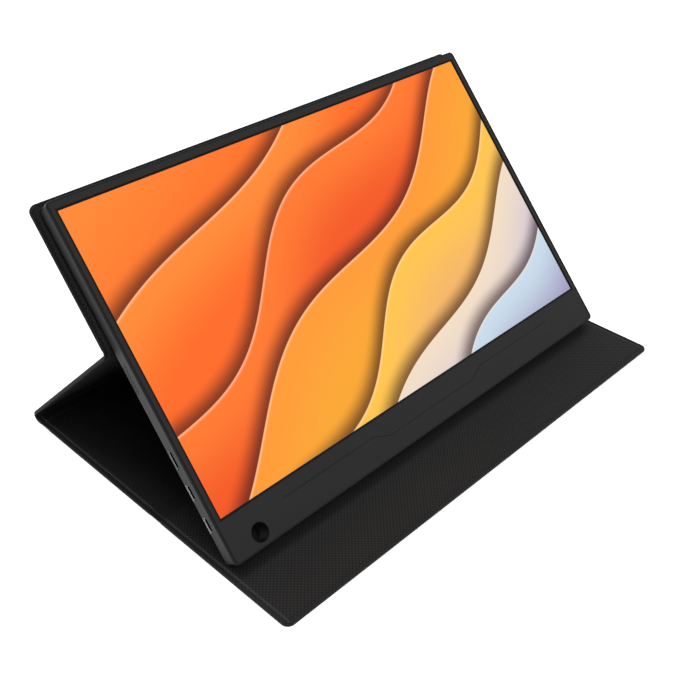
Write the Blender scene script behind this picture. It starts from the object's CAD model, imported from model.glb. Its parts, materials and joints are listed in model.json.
"""Looks of the portable monitor on its folding cover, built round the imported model."""
import json
import math

import bpy
import numpy as np
from mathutils import Matrix, Vector


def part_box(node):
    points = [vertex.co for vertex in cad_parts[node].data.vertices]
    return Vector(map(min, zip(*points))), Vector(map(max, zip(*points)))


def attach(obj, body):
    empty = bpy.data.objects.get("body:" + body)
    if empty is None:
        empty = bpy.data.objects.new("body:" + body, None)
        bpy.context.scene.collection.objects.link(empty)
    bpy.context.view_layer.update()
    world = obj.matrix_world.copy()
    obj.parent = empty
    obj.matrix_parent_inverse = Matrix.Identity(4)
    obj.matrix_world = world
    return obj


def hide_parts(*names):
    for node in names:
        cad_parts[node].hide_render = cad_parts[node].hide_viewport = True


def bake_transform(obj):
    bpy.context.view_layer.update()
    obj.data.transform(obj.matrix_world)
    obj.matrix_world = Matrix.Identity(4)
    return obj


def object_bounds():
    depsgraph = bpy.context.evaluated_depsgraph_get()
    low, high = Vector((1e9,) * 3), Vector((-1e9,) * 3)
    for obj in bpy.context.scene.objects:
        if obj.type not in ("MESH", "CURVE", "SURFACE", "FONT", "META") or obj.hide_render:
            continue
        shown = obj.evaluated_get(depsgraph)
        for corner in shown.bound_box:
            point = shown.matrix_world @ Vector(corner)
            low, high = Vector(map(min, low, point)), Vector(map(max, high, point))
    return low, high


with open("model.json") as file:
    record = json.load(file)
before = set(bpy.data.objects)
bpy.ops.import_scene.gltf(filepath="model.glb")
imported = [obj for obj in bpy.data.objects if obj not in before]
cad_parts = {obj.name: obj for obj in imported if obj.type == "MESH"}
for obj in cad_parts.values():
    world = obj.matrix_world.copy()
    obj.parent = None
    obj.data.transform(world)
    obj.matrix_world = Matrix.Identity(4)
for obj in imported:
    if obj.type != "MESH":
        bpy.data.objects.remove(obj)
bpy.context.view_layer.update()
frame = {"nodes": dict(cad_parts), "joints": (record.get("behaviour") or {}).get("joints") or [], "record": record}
nodes = frame["nodes"]
joints = {j["name"]: j for j in frame["joints"]}
MM = 0.001


def mm(*lengths):
    """The given millimetres in metres."""
    return tuple(length * MM for length in lengths)


# ---------- places taken from the frame ----------


def points(node):
    """A CAD node's vertices in the shared frame, one per row."""
    flat = np.zeros(len(nodes[node].data.vertices) * 3, np.float32)
    nodes[node].data.vertices.foreach_get("co", flat)
    return flat.reshape(-1, 3).astype(float)


def local_box(node, place):
    """Lowest and highest corner of a CAD node in the axes of the matrix place."""
    inverse = np.array(place.inverted())
    moved = points(node) @ inverse[:3, :3].T + inverse[:3, 3]
    return Vector(moved.min(0)), Vector(moved.max(0))


def axes_at(origin, along):
    """Matrix with x across the object, y along a direction in the YZ plane, z = x cross y."""
    y = Vector(along).normalized()
    z = Vector((1, 0, 0)).cross(y)
    return Matrix.Translation(Vector(origin)) @ Matrix(((1, 0, 0), y, z)).transposed().to_4x4()


crease = Vector(joints["flap_fold"]["pos_m"])
spine_fold = Vector(joints["spine_fold"]["pos_m"])
rear_fold = Vector(joints["support_fold"]["pos_m"])
back_fold = Vector(joints["back_fold"]["pos_m"])
screen_front = -Vector(joints["magnet_release"]["axis"])
up_screen = Vector((0, screen_front.z, -screen_front.y))
face_axes = axes_at((0, 0, 0), up_screen)
shell_low, shell_high = local_box("rear_shell", face_axes)
# The housing's own axes: x across, y up from its lower edge, z out of its front
face = face_axes @ Matrix.Translation((0, shell_low.y, shell_high.z))
on_back = axes_at(back_fold, up_screen)
skin_low, skin_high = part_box("front_half_skin")
front_end = Vector((0, skin_low.y, crease.z))
# In mm: half the cover's width, and the lengths along it from its front end to two folds
cover_half = (skin_high.x - skin_low.x) / 2 / MM
crease_s = (crease.y - front_end.y) / MM
spine_s = (spine_fold.y - front_end.y) / MM

# ---------- camera ----------

# Fitted to the photograph: in pixels of its side, in metres and in degrees
FOCAL_PX, FRAME_PX = 1044.5, 680
CENTRE_PX = (317.5, 297.1)
CAMERA_AT = (-0.4324, -0.39215, 0.44284)
CAMERA_AZIMUTH, CAMERA_ELEVATION, CAMERA_ROLL = -45.25, 32.61, 0.57
SENSOR_MM = 36
CLIP_NEAR, CLIP_FAR = 0.01, 20


def add_camera():
    azimuth, elevation = math.radians(CAMERA_AZIMUTH), math.radians(CAMERA_ELEVATION)
    back = Vector((math.sin(azimuth) * math.cos(elevation),
                   -math.cos(azimuth) * math.cos(elevation),
                   math.sin(elevation)))
    right = Vector((0, 0, 1)).cross(back).normalized()
    turned = Matrix((right, back.cross(right), back)).transposed().to_4x4()
    roll = Matrix.Rotation(math.radians(CAMERA_ROLL), 4, "Z")
    camera = bpy.data.objects.new("camera", bpy.data.cameras.new("camera"))
    camera.matrix_world = Matrix.Translation(CAMERA_AT) @ turned @ roll
    camera.data.sensor_width = SENSOR_MM
    camera.data.lens = FOCAL_PX / FRAME_PX * SENSOR_MM
    camera.data.shift_x = 0.5 - CENTRE_PX[0] / FRAME_PX
    camera.data.shift_y = CENTRE_PX[1] / FRAME_PX - 0.5
    camera.data.clip_start, camera.data.clip_end = CLIP_NEAR, CLIP_FAR
    bpy.context.scene.collection.objects.link(camera)
    bpy.context.scene.camera = camera


add_camera()
bpy.context.scene.view_settings.view_transform = "Standard"

# ---------- material helpers ----------


class Nodes:
    """Short names for building a node tree."""

    def __init__(self, tree):
        self.tree = tree

    def add(self, kind, **settings):
        node = self.tree.nodes.new(kind)
        for name, value in settings.items():
            setattr(node, name, value)
        return node

    def put(self, socket, value):
        """Feed a socket from another node's socket, or set it to a constant."""
        if isinstance(value, bpy.types.NodeSocket):
            self.tree.links.new(value, socket)
        elif value is not None:
            socket.default_value = value

    def math(self, operation, a, b=None, c=None):
        node = self.add("ShaderNodeMath", operation=operation)
        for i, value in enumerate((a, b, c)):
            self.put(node.inputs[i], value)
        return node.outputs[0]

    def product(self, first, *others):
        for value in others:
            first = self.math("MULTIPLY", first, value)
        return first

    def apart(self, a, b):
        """Distance between two values."""
        return self.math("ABSOLUTE", self.math("SUBTRACT", a, b))

    def hypot(self, a, b):
        squares = self.math("ADD", self.math("MULTIPLY", a, a), self.math("MULTIPLY", b, b))
        return self.math("SQRT", squares)

    def inside(self, half, value):
        """How far the value lies inside the span from -half to half."""
        return self.math("SUBTRACT", half, self.math("ABSOLUTE", value))

    def remap(self, value, low, high, to_low=0.0, to_high=1.0, smooth=True):
        """Change from to_low at low to to_high at high, and hold beyond; low may be above high."""
        node = self.add("ShaderNodeMapRange")
        node.interpolation_type = "SMOOTHSTEP" if smooth else "LINEAR"
        for name, v in (("Value", value), ("From Min", low), ("From Max", high),
                        ("To Min", to_low), ("To Max", to_high)):
            self.put(node.inputs[name], v)
        return node.outputs[0]

    def band(self, value, start, full, full_end, end):
        """1 between full and full_end, fading to 0 at start and at end."""
        return self.product(self.remap(value, start, full), self.remap(value, end, full_end))

    def mix(self, factor, a, b, mode="MIX"):
        node = self.add("ShaderNodeMix", data_type="RGBA", blend_type=mode)
        # Of this node's sockets, 0 is the factor and 6 and 7 are the colours
        self.put(node.inputs[0], factor)
        self.put(node.inputs[6], a)
        self.put(node.inputs[7], b)
        return node.outputs[2]

    def noise(self, vector, scale, detail):
        node = self.add("ShaderNodeTexNoise")
        self.put(node.inputs["Vector"], vector)
        self.put(node.inputs["Scale"], scale)
        self.put(node.inputs["Detail"], detail)
        return node.outputs["Fac"]

    def split(self, vector):
        node = self.add("ShaderNodeSeparateXYZ")
        self.put(node.inputs[0], vector)
        return node.outputs

    def bump(self, height, strength, distance):
        node = self.add("ShaderNodeBump")
        self.put(node.inputs["Height"], height)
        self.put(node.inputs["Strength"], strength)
        self.put(node.inputs["Distance"], distance)
        return node.outputs[0]


def linear(code):
    """Linear RGBA of an sRGB colour written as #RRGGBB."""
    parts = [int(code[i:i + 2], 16) / 255 for i in (1, 3, 5)]
    flat = [c / 12.92 if c < 0.04045 else ((c + 0.055) / 1.055) ** 2.4 for c in parts]
    return (*flat, 1.0)


def scaled(colour, factor):
    """The colour made darker or lighter by a factor."""
    return tuple(min(c * factor, 1.0) for c in colour[:3]) + (1.0,)


def new_material(name):
    """A material with one Principled shader: the material, its Nodes helper and the shader."""
    material = bpy.data.materials.new(name)
    material.use_nodes = True
    shader = material.node_tree.nodes["Principled BSDF"]
    return material, Nodes(material.node_tree), shader


def set_shader(shader, **values):
    for name, value in values.items():
        shader.inputs[name.replace("_", " ")].default_value = value


def face_coordinates(n):
    """Coordinates in the housing's own axes, in metres."""
    source = n.add("ShaderNodeTexCoord").outputs["Object"]
    node = n.add("ShaderNodeMapping", vector_type="TEXTURE")
    n.put(node.inputs["Vector"], source)
    node.inputs["Location"].default_value = face.translation
    node.inputs["Rotation"].default_value = face.to_euler()
    return node.outputs[0]


# ---------- plain surfaces ----------

# Colour, spread of its shade, roughness, and the size and depth of its grain in mm
PLAIN = {
    "housing_alloy": ("#262626", 0.06, 0.42, 0.25, 0.02),
    "frame_plastic": ("#262627", 0.05, 0.55, 0.2, 0.01),
    "diffuser_film": ("#EDECE8", 0.02, 0.6, 0.5, 0.01),
    "light_acrylic": ("#DDE6EA", 0.02, 0.12, 0.5, 0.002),
    "tray_alloy": ("#A5A8AC", 0.06, 0.35, 0.3, 0.01),
    "screw_steel": ("#B4B4B6", 0.08, 0.25, 0.1, 0.005),
    "circuit_board": ("#123A24", 0.2, 0.4, 0.3, 0.01),
    "chip_plastic": ("#1D1D20", 0.1, 0.5, 0.1, 0.01),
    "shield_tin": ("#B9BCC0", 0.08, 0.3, 0.3, 0.01),
    "socket_steel": ("#C4C7CB", 0.08, 0.28, 0.1, 0.005),
    "cable_film": ("#B98F3E", 0.08, 0.4, 0.3, 0.01),
    "magnet_nickel": ("#A0A3A7", 0.08, 0.25, 0.2, 0.005),
    "black_plastic": ("#121213", 0.1, 0.5, 0.1, 0.01),
    "stiffener": ("#6D6A62", 0.08, 0.8, 0.6, 0.05),
}
BARE_METALS = ("tray_alloy", "screw_steel", "shield_tin", "socket_steel", "magnet_nickel")
# Specular level of most surfaces, and of those that differ
SPECULAR, SPECULAR_OF = 0.3, {"housing_alloy": 0.2, "frame_plastic": 0.14}
CLOUD_SCALE, PLAIN_DETAIL = 35.0, 2.0
GRAIN_SPAN, ROUGHNESS_SPREAD, GRAIN_BUMP = (0.2, 0.8), 0.05, 0.35


def plain_material(name):
    """A surface with a slightly varied shade, fine grain and a roughness that follows the grain."""
    colour, spread, roughness, grain, depth = PLAIN[name]
    material, n, shader = new_material(name)
    at = n.add("ShaderNodeTexCoord").outputs["Object"]
    cloud = n.noise(at, CLOUD_SCALE, PLAIN_DETAIL)
    shade = n.mix(cloud, scaled(linear(colour), 1 - spread), scaled(linear(colour), 1 + spread))
    fine = n.noise(at, 1 / (grain * MM), PLAIN_DETAIL)
    n.put(shader.inputs["Base Color"], shade)
    n.put(shader.inputs["Roughness"],
          n.remap(fine, *GRAIN_SPAN, roughness - ROUGHNESS_SPREAD, roughness + ROUGHNESS_SPREAD))
    n.put(shader.inputs["Normal"], n.bump(fine, GRAIN_BUMP, depth * MM))
    set_shader(shader, Metallic=float(name in BARE_METALS),
               Specular_IOR_Level=SPECULAR_OF.get(name, SPECULAR))
    return material


# ---------- the lit picture ----------

# In metres: the picture's width and height, and its lower edge above the housing's
PICTURE_W, PICTURE_H, PICTURE_LOW = 0.3427, 0.1921, 0.02715
# Soft overlapping dunes from the picture's upper left to its lower right: how far down the
# slope each crest lies, its swell, the number and start of its waves, and its colours at the
# crest and below. Lengths on the picture are shares of its height.
DUNES = (
    (0.50, 0.060, 0.62, 0.3, "#FF8B33", "#FF6A1F"),
    (0.24, 0.075, 0.80, 2.6, "#FF7A2A", "#F4571A"),
    (0.00, 0.070, 0.70, 5.0, "#FF9A30", "#F9A62B"),
    (-0.22, 0.060, 0.95, 1.2, "#FFC44A", "#F3B567"),
    (-0.42, 0.050, 0.85, 3.9, "#F1DDC6", "#CFC4D6"),
    (-0.60, 0.045, 1.10, 0.2, "#C9DCEB", "#9C93BC"),
)
SLOPE = math.radians(29)
SKY_LOW, SKY_HIGH, SKY_SPAN = "#FF6F20", "#FF8A35", (0.4, 0.9)
SHADOW, SHADOW_REACH, SHADOW_SHARE = "#3A0A05", 0.075, 0.8
GLINT, GLINT_WIDTH, GLINT_SHARE = "#FFE3C0", 0.012, 0.45
CREST_BLUR, DUNE_DEPTH = 0.0015, 0.26


def screen_material():
    """The lit picture: plain soft hills in warm and pale colours under a dull glass."""
    material, n, shader = new_material("lit_picture")
    across, up, _ = n.split(face_coordinates(n))
    x = n.math("ADD", n.math("DIVIDE", across, PICTURE_W), 0.5)
    y = n.math("DIVIDE", n.math("SUBTRACT", up, PICTURE_LOW), PICTURE_H)
    wide = n.math("MULTIPLY", x, PICTURE_W / PICTURE_H)
    down = n.math("SUBTRACT", n.math("MULTIPLY", y, math.cos(SLOPE)),
                  n.math("MULTIPLY", wide, math.sin(SLOPE)))
    along = n.math("ADD", n.math("MULTIPLY", wide, math.cos(SLOPE)),
                   n.math("MULTIPLY", y, math.sin(SLOPE)))
    colour = n.mix(n.remap(down, *SKY_SPAN), linear(SKY_LOW), linear(SKY_HIGH))
    for height, swell, waves, start, crest_colour, deep_colour in DUNES:
        wave = n.math("SINE", n.math("MULTIPLY_ADD", along, waves * 2 * math.pi, start))
        depth = n.math("SUBTRACT", n.math("MULTIPLY_ADD", wave, swell, height), down)
        shadow = n.remap(depth, -SHADOW_REACH, 0.0, 0.0, SHADOW_SHARE)
        glint = n.remap(depth, 0.0, GLINT_WIDTH, GLINT_SHARE, 0.0)
        colour = n.mix(shadow, colour, linear(SHADOW))
        layer = n.mix(n.remap(depth, 0.0, DUNE_DEPTH), linear(crest_colour), linear(deep_colour))
        layer = n.mix(glint, layer, linear(GLINT))
        colour = n.mix(n.remap(depth, -CREST_BLUR, CREST_BLUR), colour, layer)
    lit = n.product(n.math("COMPARE", x, 0.5, 0.5), n.math("COMPARE", y, 0.5, 0.5))
    n.put(shader.inputs["Emission Color"], n.mix(lit, (0.0, 0.0, 0.0, 1.0), colour))
    set_shader(shader, Emission_Strength=1.0, Base_Color=(0.004, 0.004, 0.004, 1), Roughness=0.35,
               Specular_IOR_Level=0.08)
    return material


# ---------- leather ----------

RIDGE_PITCH, RIDGE_DEPTH, LEATHER_BUMP = 1.9 * MM, 0.12 * MM, 0.6
PORE_SCALE, PORE_DETAIL, PORE_SHARE = 2500.0, 2.0, 0.25
BLOTCH_SCALE, BLOTCH_DETAIL, BLOTCH_DARK, BLOTCH_LIGHT = 22.0, 3.0, 0.86, 1.14
RIDGE_SHADE = (0.0, 0.9, 0.45, 1.15)  # heights from and to, and the shade at each
RIDGE_ROUGHNESS = (0.0, 1.2, 0.72, 0.56)
LEATHER_SPECULAR = 0.12
# Beyond the front cover's crease the lining keeps this share of its colour; it darkens between
# a place before the crease and one past it, in mm
SHADED_LINING, SHADE_BEFORE, SHADE_PAST = 0.7, 12, 2
# A worn ridge beside the lining's edge, in from its side: weaker at the crease, and fading out
# past the spine's fold, in mm
WORN_BAND, WORN_SHARE = mm(2.8, 3.3, 3.7, 4.4), 1.3
WORN_OFF_CREASE, WORN_AT_CREASE = mm(5, 8), 0.25
WORN_STAYS, WORN_ENDS = 4, 14
# A lighter rim on the outer leather of the front cover
RIM_FADE, RIM_SHARE = mm(1.3, 0.4), 0.7


def worn_ridge(n, v, from_side):
    """How worn the lining is at a length v along it and a distance in from its side."""
    off_crease = n.remap(n.apart(v, crease_s * MM), *WORN_OFF_CREASE, WORN_AT_CREASE, 1.0)
    before_spine = n.remap(v, (spine_s + WORN_STAYS) * MM, (spine_s + WORN_ENDS) * MM, 1.0, 0.0)
    return n.product(n.band(from_side, *WORN_BAND), off_crease, before_spine)


def leather_material(name, colour, lining=False):
    """Cross-hatched leather: short diagonal ridges in two directions, laid along the sheet."""
    material, n, shader = new_material(name)
    sheet_place = n.add("ShaderNodeUVMap", uv_map="sheet").outputs[0]
    u, v, _ = n.split(sheet_place)
    turn = math.pi / RIDGE_PITCH * math.sqrt(0.5)
    waves = [n.math("SINE", n.math("MULTIPLY", n.math(sign, u, v), turn))
             for sign in ("ADD", "SUBTRACT")]
    ridge = n.product(*(n.math("ABSOLUTE", wave) for wave in waves))
    height = n.math("MULTIPLY_ADD", n.noise(sheet_place, PORE_SCALE, PORE_DETAIL), PORE_SHARE, ridge)
    shade = n.remap(height, *RIDGE_SHADE)
    from_side = n.inside(cover_half * MM, u)
    past_crease = n.remap(v, (crease_s - SHADE_BEFORE) * MM, (crease_s + SHADE_PAST) * MM)
    if lining:
        shade = n.math("MULTIPLY", shade, n.remap(past_crease, 0.0, 1.0, 1.0, SHADED_LINING))
        shade = n.math("MULTIPLY_ADD", worn_ridge(n, v, from_side), WORN_SHARE, shade)
    else:
        rim = n.remap(n.math("MINIMUM", from_side, v), *RIM_FADE)
        rim = n.math("MULTIPLY", rim, n.math("SUBTRACT", 1.0, past_crease))
        shade = n.math("MULTIPLY_ADD", rim, RIM_SHARE, shade)
    blotch = n.noise(sheet_place, BLOTCH_SCALE, BLOTCH_DETAIL)
    base = n.mix(blotch, scaled(linear(colour), BLOTCH_DARK), scaled(linear(colour), BLOTCH_LIGHT))
    n.put(shader.inputs["Base Color"], n.mix(1.0, base, shade, "MULTIPLY"))
    n.put(shader.inputs["Roughness"], n.remap(height, *RIDGE_ROUGHNESS))
    n.put(shader.inputs["Normal"], n.bump(height, LEATHER_BUMP, RIDGE_DEPTH))
    set_shader(shader, Specular_IOR_Level=LEATHER_SPECULAR)
    return material


# ---------- shades painted on the housing and its sockets ----------

BLACK = (0.001, 0.001, 0.001, 1)
# Depths are heights above the housing's front, so they are negative inside it. The walls of
# the openings are found by how far in from the side they lie, and by their depth.
FRONT_RIM = mm(-0.45, -0.15)
OPENING_WALLS, OPENING_DEPTHS = mm(0.05, 0.2, 1.4, 1.6), mm(-9.4, -9.0, -1.4, -0.9)
# Sound holes up the side, in mm: each row's depth, its first hole's height and its count, the
# pitch, and the dark ring round a hole, which is a little wider than the hole
HOLE_ROWS = ((-5.10, 110.2, 9), (-6.62, 109.25, 10), (-8.14, 110.2, 9))
HOLE_PITCH, HOLE_RING = 1.9, mm(0.72, 0.55)
# Bright rear lip of each socket's slot: the slot's gap round the socket, where the lip starts,
# its width and soft edge, the shares of the socket's half thickness between which it appears,
# and how bright each socket's lip is
LIP_COLOUR = "#B8B8B8"
SLOT_GAP, LIP_START, LIP_WIDTH, LIP_BLUR = mm(0.65, -0.05, 0.5, 0.15)
LIP_FROM, LIP_FULL = -0.5, -0.9
LIPS = {"usb_c_socket_lower": 1.0, "usb_c_socket_upper": 1.0, "mini_hdmi_socket": 0.45}
# The seam at the frame's sides, in from them; and the line engraved on the chin, which is what
# lies under the frame's face further down than this below the picture
SEAM, SEAM_SHARE = mm(0.6, 1.4), 0.95
ENGRAVED_FROM, ENGRAVED_FULL, CHIN_BELOW = mm(0.04, 0.1, 6)
ENGRAVED_SHARE = 0.75
# A socket darkens past its mouth, and from a little behind its middle to its front
MOUTH, SOCKET_BACK, SOCKET_FRONT, SOCKET_SHARE = mm(0.1, 0.3), -0.7 * MM, -0.3 * MM, 0.88


def tint(material, where, colour=BLACK):
    """Turn the material's colour by the share that where gives for the housing's axes."""
    n, shader = Nodes(material.node_tree), material.node_tree.nodes["Principled BSDF"]
    plain = shader.inputs["Base Color"].links[0].from_socket
    share = where(n, *n.split(face_coordinates(n)))
    n.put(shader.inputs["Base Color"], n.mix(share, plain, colour))


def housing_shadow(n, across, up, depth):
    """The front rim, the walls of the openings behind the side's face, and the sound holes."""
    walls = n.product(n.band(n.inside(shell_high.x, across), *OPENING_WALLS),
                      n.band(depth, *OPENING_DEPTHS))
    dark = n.math("MAXIMUM", n.remap(depth, *FRONT_RIM), walls)
    for row_depth, first, count in HOLE_ROWS:
        middle, half = first + (count - 1) / 2 * HOLE_PITCH, count / 2 * HOLE_PITCH
        in_row = n.math("COMPARE", up, middle * MM, half * MM)
        step = n.math("SUBTRACT", up, (first - HOLE_PITCH / 2) * MM)
        step = n.math("FLOORED_MODULO", step, HOLE_PITCH * MM)
        step = n.math("SUBTRACT", step, HOLE_PITCH / 2 * MM)
        off = n.math("SUBTRACT", depth, row_depth * MM)
        hole = n.math("MULTIPLY", in_row, n.remap(n.hypot(step, off), *HOLE_RING))
        dark = n.math("MAXIMUM", dark, hole)
    return dark


def slot_lips(n, across, up, depth):
    """The rear lip of each socket's slot, which is cut bright, on the left side."""
    bright = 0.0
    for socket, strength in LIPS.items():
        low, high = local_box(socket, face)
        middle, radius = (low + high) / 2, (high.z - low.z) / 2
        past = n.math("SUBTRACT", n.apart(up, middle.y), (high.y - low.y) / 2 - radius)
        off = n.math("SUBTRACT", depth, middle.z)
        away = n.hypot(n.math("MAXIMUM", past, 0.0), off)
        away = n.math("SUBTRACT", away, radius + SLOT_GAP)
        lip = n.product(n.math("GREATER_THAN", away, LIP_START),
                        n.remap(away, LIP_WIDTH, LIP_WIDTH - LIP_BLUR, 0.0, strength),
                        n.remap(off, LIP_FROM * radius, LIP_FULL * radius))
        bright = n.math("MAXIMUM", bright, lip)
    return n.math("MULTIPLY", bright, n.math("LESS_THAN", across, 0.0))


def frame_shadow(n, across, up, depth):
    """The seam along the frame's sides and the engraved line on its chin."""
    high = local_box("front_frame", face)[1]
    seam = n.remap(n.inside(high.x, across), *SEAM, SEAM_SHARE, 0.0)
    line = n.remap(depth, high.z - ENGRAVED_FROM, high.z - ENGRAVED_FULL, 0.0, ENGRAVED_SHARE)
    line = n.math("MULTIPLY", line, n.math("LESS_THAN", up, PICTURE_LOW - CHIN_BELOW))
    return n.math("MAXIMUM", seam, line)


def socket_shadow(n, across, _up, depth):
    """Everything in a socket but the rear long side of its mouth."""
    low, high = local_box("usb_c_socket_lower", face)
    middle = (low.z + high.z) / 2
    in_mouth = n.remap(n.inside(-low.x, across), *MOUTH)
    front = n.remap(depth, middle + SOCKET_BACK, middle + SOCKET_FRONT, 0.0, SOCKET_SHARE)
    return n.math("MAXIMUM", in_mouth, front)


made = {name: plain_material(name) for name in PLAIN}
made["screen"] = screen_material()
made["cover_leather"] = leather_material("cover_leather", "#1C1C1C")
made["cover_lining"] = leather_material("cover_lining", "#222222", lining=True)
tint(made["housing_alloy"], housing_shadow)
tint(made["housing_alloy"], slot_lips, linear(LIP_COLOUR))
tint(made["frame_plastic"], frame_shadow)
tint(made["socket_steel"], socket_shadow)

for item in frame["record"]["subparts"]:
    mesh = nodes[item["node"]].data
    mesh.materials.clear()
    mesh.materials.append(made[item["material_slot"]])

# ---------- the cover's sheets ----------

# All in mm. The radius of the cover's corners and of its rounded rim; how far in from the
# cover's edge the leather is folded over, and how far in the lining starts; and how much of the
# corner each of the two bent folds cuts off
CORNER_R, RIM_R = 5.0, 0.9
LEATHER_IN, LINING_IN = 1.3, 1.36
REAR_CUT, BACK_CUT = 7.8, 5.0
# Heights above the cover's middle line of its top and bottom, of the leather's inner face and
# of the lining's: on a panel, and where the cover thins at each kind of fold
PANEL = (1.25, -1.25, -0.62, 0.62)
FLAT_FOLD = (0.6, -0.6, 0.0, 0.0)
REAR_FOLD = (0.25, -1.25, -0.5, -0.5)
BACK_FOLD = (1.25, 0.0, 0.6, 0.6)
# Thinning takes this length at each end of a fold, and a fold reaches from the crease, from the
# spine's fold, and in from the ends of the two bends by these
RAMP = 1.6
CREASE_REACH, SPINE_BEFORE, SPINE_PAST, REAR_INSIDE, BACK_INSIDE = 5.75, 6, 4, 1.6, 0.9
# The groove pressed beside the edge: its depth, and where it starts, is full, and ends
GROOVE_DEPTH, GROOVE = 0.42, (0.8, 1.8, 2.9, 3.9)
# How far the lining lies below the cover's top, how much lower still at its own edge and over
# what width, and its least thickness
LINING_SUNK, LINING_EDGE_SUNK, LINING_EDGE, LINING_LEAST = 0.05, 0.15, 0.3, 0.1
# Grid points at LEATHER_IN lie past the leather's hem, whatever the rounding
HEM_SLACK = 0.005
# Grid of a sheet: distances in from an edge; spacing at folds and on panels, rows round a bend,
# and steps across the middle; one more row near the cover's ends, and the least gaps beside a
# sheet's ends and between rows; the rounding allowed in a length; the angle of a sharp edge
OFFSETS = (0, 0.1, 0.25, 0.5, 0.9, 1.28, 1.3, 1.38, 1.7, 2.1, 2.6, 3.0, 3.3, 3.6, 4.0, 5.2)
FOLD_STEP, PANEL_STEP, BEND_ROWS, MIDDLE_STEPS = 0.4, 5.0, 25, 48
FIRST_ROW, END_GAP, ROW_GAP = 0.04, 0.03, 0.015
TINY = 1e-9
SHARP_DEG = 40


def smooth(value, low, high):
    t = np.clip((value - low) / (high - low), 0, 1)
    return t * t * (3 - 2 * t)


def heading(angle):
    return np.array((math.cos(angle), math.sin(angle)))


def square_to(angle):
    """Direction a quarter turn to the left of an angle."""
    return np.array((-math.sin(angle), math.cos(angle)))


class SidePath:
    """The cover's middle line seen from its side: straight panels joined by round bends, in mm."""

    def __init__(self, corners, cuts):
        """Corners of the line, and the length that the bend at each corner cuts off."""
        self.parts, self.bends, at = [], [], 0.0
        steps = [b - a for a, b in zip(corners, corners[1:])]
        angles = np.unwrap([math.atan2(step[1], step[0]) for step in steps])
        for i, (corner, step, angle) in enumerate(zip(corners, steps, angles)):
            along = step / np.linalg.norm(step)
            length = np.linalg.norm(step) - cuts[i] - cuts[i + 1]
            start = corner + along * cuts[i]
            self.parts.append((at, at + length, start, angle, 0.0))
            at += length
            if i + 1 < len(angles):
                turn = angles[i + 1] - angle
                radius = cuts[i + 1] / math.tan(abs(turn) / 2)
                end = at + radius * abs(turn)
                self.parts.append((at, end, start + along * length, angle, turn / (end - at)))
                self.bends.append((at, end))
                at = end
        self.length = at

    def at(self, s):
        """Place (y, z) and direction of travel at the length s."""
        for low, high, start, angle, curve in self.parts:
            if s <= high + TINY:
                break
        run = s - low
        if not curve:
            return start + run * heading(angle), angle
        now, radius = angle + curve * run, 1 / curve
        centre = start + radius * square_to(angle)
        return centre - radius * square_to(now), now


def side_point(place):
    return np.array((place.y, place.z)) / MM


top_edge = on_back @ Vector((0, local_box("back_panel_skin", on_back)[1].y, 0))
path = SidePath([side_point(p) for p in (front_end, rear_fold, back_fold, top_edge)],
                (0, REAR_CUT, BACK_CUT, 0))
(rear_0, rear_1), (back_0, back_1) = path.bends
crease_zone = (crease_s - CREASE_REACH, crease_s + CREASE_REACH)
spine_zone = (spine_s - SPINE_BEFORE, spine_s + SPINE_PAST)
ZONES = ((*crease_zone, FLAT_FOLD), (*spine_zone, FLAT_FOLD),
         (rear_0 + REAR_INSIDE, rear_1 - REAR_INSIDE, REAR_FOLD),
         (back_0 + BACK_INSIDE, back_1 - BACK_INSIDE, BACK_FOLD))


def layers(s):
    """The four heights that PANEL lists, one column each, at the lengths s."""
    values = np.tile(PANEL, (len(s), 1)).astype(float)
    for low, high, fold in ZONES:
        share = smooth(s, low, low + RAMP) * (1 - smooth(s, high - RAMP, high))
        values += share[:, None] * (np.array(fold) - PANEL)
    return values


def rows_between(low, high):
    """Lengths for the rows of a sheet: close together at the folds and at the cover's ends."""
    from_end = (*OFFSETS, FIRST_ROW)
    marks = [*from_end, *(path.length - o for o in from_end)]
    for start, end, _ in ZONES:
        marks.extend(np.arange(start - FOLD_STEP / 2, end + FOLD_STEP / 2, FOLD_STEP))
    for start, end in path.bends:
        marks.extend(np.linspace(start, end, BEND_ROWS))
    marks.extend(np.arange(0, path.length, PANEL_STEP))
    kept = [low]
    for mark in sorted(m for m in marks if low + END_GAP < m < high - END_GAP):
        if mark - kept[-1] > ROW_GAP:
            kept.append(mark)
    return np.array(kept + [high])


def sheet_grid(s, inset, lining):
    """Across the sheet at each grid point, and how far in from the sheet's edge it lies."""
    corner = CORNER_R - inset
    reach = np.minimum(s, path.length - s) - inset
    short = np.clip(corner - reach, 0, corner)
    half = (cover_half - inset - corner + np.sqrt(corner ** 2 - short ** 2))[:, None]
    offsets = np.array([o - inset for o in OFFSETS if o >= inset])
    if lining:
        offsets = np.concatenate(([0.0], offsets))
    middle = np.linspace(-1, 1, MIDDLE_STEPS + 1)[1:-1]
    across = np.hstack([offsets - half, (half - offsets[-1]) * middle, half - offsets[::-1]])
    past_side = np.abs(across) - (cover_half - inset - corner)
    past_end = np.broadcast_to((corner - reach)[:, None], across.shape)
    past = np.stack([past_side, past_end])
    outside = np.hypot(*np.maximum(past, 0)) + np.minimum(past.max(0), 0)
    return across, np.clip(corner - outside, 0, None)


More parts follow.
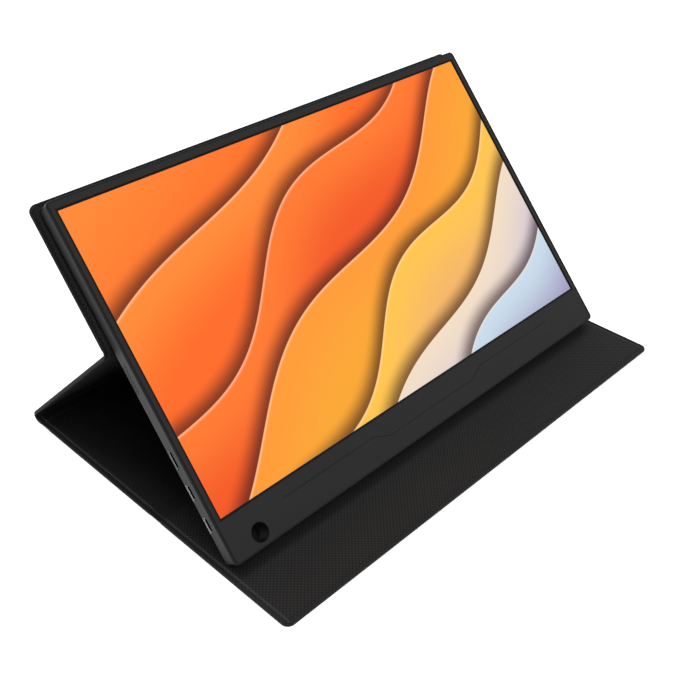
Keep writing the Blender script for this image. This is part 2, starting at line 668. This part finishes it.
def sheet_heights(s, inside, inset, lining):
    """Heights of a sheet's upper and lower face above the cover's middle line."""
    top, bottom, leather_top, lining_bottom = (column[:, None] for column in layers(s).T)
    from_edge = inside + inset
    start, full, full_end, end = GROOVE
    groove = GROOVE_DEPTH * (smooth(from_edge, start, full) - smooth(from_edge, full_end, end))
    if lining:
        sunk = LINING_SUNK + LINING_EDGE_SUNK * (1 - smooth(inside, 0, LINING_EDGE))
        upper = np.maximum(top - groove - sunk, lining_bottom + LINING_LEAST)
        return upper, np.broadcast_to(lining_bottom, inside.shape)
    radius = np.minimum(RIM_R, (top - bottom) / 2)
    short = np.maximum(radius - from_edge, 0)
    rounded = radius - np.sqrt(np.maximum(radius ** 2 - short ** 2, 0))
    hem = top - np.minimum(groove, top - leather_top) - rounded
    return np.where(from_edge < LEATHER_IN - HEM_SLACK, hem, leather_top), bottom + rounded


def closed_faces(rows, columns):
    """Faces of an upper and a lower grid of points and of the wall that joins their rims."""
    count = rows * columns
    grid = np.arange(count).reshape(rows, columns)
    corners = (grid[:-1, :-1], grid[:-1, 1:], grid[1:, 1:], grid[1:, :-1])
    upper = np.stack(corners, -1).reshape(-1, 4)
    lower = upper[:, ::-1] + count
    rim = np.concatenate([grid[0], grid[1:, -1], grid[-1, -2::-1], grid[-2:0:-1, 0]])
    turn = np.roll(rim, -1)
    wall = np.stack([rim, rim + count, turn + count, turn], -1)
    return np.concatenate([upper, lower, wall]).tolist()


def sheet(name, low, high, lining):
    """One closed piece of the leather or of the lining between two lengths of the path."""
    inset = LINING_IN if lining else 0.0
    s = rows_between(max(low, inset), min(high, path.length - inset))
    across, inside = sheet_grid(s, inset, lining)
    places, angles = zip(*(path.at(v) for v in s))
    centre, up = np.array(places), np.array([square_to(a) for a in angles])
    vertices = []
    for z in sheet_heights(s, inside, inset, lining):
        side = centre[:, None, :] + up[:, None, :] * z[:, :, None]
        vertices.append(np.concatenate([across[:, :, None], side], -1).reshape(-1, 3))
    mesh = bpy.data.meshes.new(name)
    mesh.from_pydata((np.concatenate(vertices) * MM).tolist(), [], closed_faces(*across.shape))
    along = np.broadcast_to(s[:, None], across.shape)
    flat = np.tile(np.stack([across, along], -1).reshape(-1, 2) * MM, (2, 1))
    loops = np.zeros(len(mesh.loops), int)
    mesh.loops.foreach_get("vertex_index", loops)
    mesh.uv_layers.new(name="sheet").data.foreach_set("uv", flat[loops].astype(np.float32).ravel())
    mesh.shade_smooth()
    mesh.set_sharp_from_angle(angle=math.radians(SHARP_DEG))
    mesh.validate()
    piece = bpy.data.objects.new(name, mesh)
    bpy.context.scene.collection.objects.link(piece)
    slot = "cover_lining" if lining else "cover_leather"
    mesh.materials.append(made[slot])
    return piece


# Pieces of the cover from its front end to its top: where each starts and ends, the bodies and
# lengths that it bends between, and the CAD panels that it stands for
SPINE_CUT, BACK_OVERLAP = 0.5, 3
CUTS = (0, spine_zone[0] - SPINE_CUT, spine_zone[1] + SPINE_CUT,
        back_0 - BACK_OVERLAP, back_1 + BACK_OVERLAP, path.length)
FOLDS = (("front_flap", "base", *crease_zone),
         ("base", "spine", *spine_zone),
         ("spine", "support", rear_0, rear_1),
         ("support", "back_panel", back_0, back_1), None)
PARTS = ("front_cover", "spine_fold", "easel", "back_fold", "back_panel")
STANDS_FOR = {"front_cover": ("front_half", "rear_half"), "easel": ("spine", "support"),
              "back_panel": ("back_panel",)}


def add_cover():
    for part, low, high, fold in zip(PARTS, CUTS, CUTS[1:], FOLDS):
        for kind in ("leather", "lining"):
            piece = sheet(f"{part}_{kind}", low, high, kind == "lining")
            if fold:
                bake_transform(piece)
            else:
                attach(piece, "back_panel")
            nodes_for = STANDS_FOR.get(part, ())
            if nodes_for:
                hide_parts(*(f"{n}_{'skin' if kind == 'leather' else 'lining'}" for n in nodes_for))


add_cover()

# ---------- floor and light ----------

FLOOR_SIZE, FLOOR_GAP, FLOOR_GREY, FLOOR_ROUGHNESS = 8, 0.0002, 0.8, 0.9
# The floor glows towards the camera: this strong near the object, and fully further off
GLOW_SPAN, NEAR_GLOW = (0.5, 1.8), 0.7
# The world looks white and lights the object this strongly
WORLD_LIGHT = 0.24
# Name, place, what it points at, width and power
LAMPS = (
    ("key", (-0.45, -1.0, 1.25), (0, 0, 0.05), 0.8, 9),
    ("fill", (0.8, -1.1, 0.9), (0, 0, 0.05), 0.9, 2.5),
    ("rear", (-0.1, 1.0, 1.15), (0, 0, 0.02), 1.2, 15),
)


def seen(n):
    """1 for rays that show a thing to the camera, straight or mirrored, and 0 for lighting rays."""
    rays = n.add("ShaderNodeLightPath").outputs
    mirrored = n.math("MAXIMUM", rays["Is Glossy Ray"], rays["Is Transmission Ray"])
    return n.math("MAXIMUM", rays["Is Camera Ray"], mirrored)


def add_floor():
    floor_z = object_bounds()[0].z - FLOOR_GAP
    bpy.ops.mesh.primitive_plane_add(size=FLOOR_SIZE, location=(0, 0, floor_z))
    floor = bpy.context.object
    floor.name = "floor"
    material, n, shader = new_material("floor")
    set_shader(shader, Base_Color=(FLOOR_GREY, FLOOR_GREY, FLOOR_GREY, 1),
               Roughness=FLOOR_ROUGHNESS, Specular_IOR_Level=0.0)
    away = n.add("ShaderNodeVectorMath", operation="LENGTH")
    n.put(away.inputs[0], n.add("ShaderNodeTexCoord").outputs["Object"])
    white = n.remap(away.outputs["Value"], *GLOW_SPAN, NEAR_GLOW, 1.0)
    glow = n.add("ShaderNodeEmission")
    n.put(glow.inputs["Strength"], n.math("MULTIPLY", seen(n), white))
    both = n.add("ShaderNodeAddShader")
    n.put(both.inputs[0], shader.outputs[0])
    n.put(both.inputs[1], glow.outputs[0])
    n.put(material.node_tree.nodes["Material Output"].inputs["Surface"], both.outputs[0])
    floor.data.materials.append(material)


def add_world():
    world = bpy.data.worlds.new("studio")
    bpy.context.scene.world = world
    world.use_nodes = True
    n = Nodes(world.node_tree)
    background = world.node_tree.nodes["Background"]
    background.inputs["Color"].default_value = (1, 1, 1, 1)
    n.put(background.inputs["Strength"], n.remap(seen(n), 0.0, 1.0, WORLD_LIGHT, 1.0, smooth=False))


def add_lamp(name, at, target, width, power):
    lamp = bpy.data.objects.new(name, bpy.data.lights.new(name, "AREA"))
    lamp.data.shape = "DISK"
    lamp.data.size = width
    lamp.data.energy = power
    lamp.location = at
    lamp.rotation_mode = "QUATERNION"
    lamp.rotation_quaternion = (Vector(target) - Vector(at)).to_track_quat("-Z", "Y")
    bpy.context.scene.collection.objects.link(lamp)


add_floor()
add_world()
for values in LAMPS:
    add_lamp(*values)
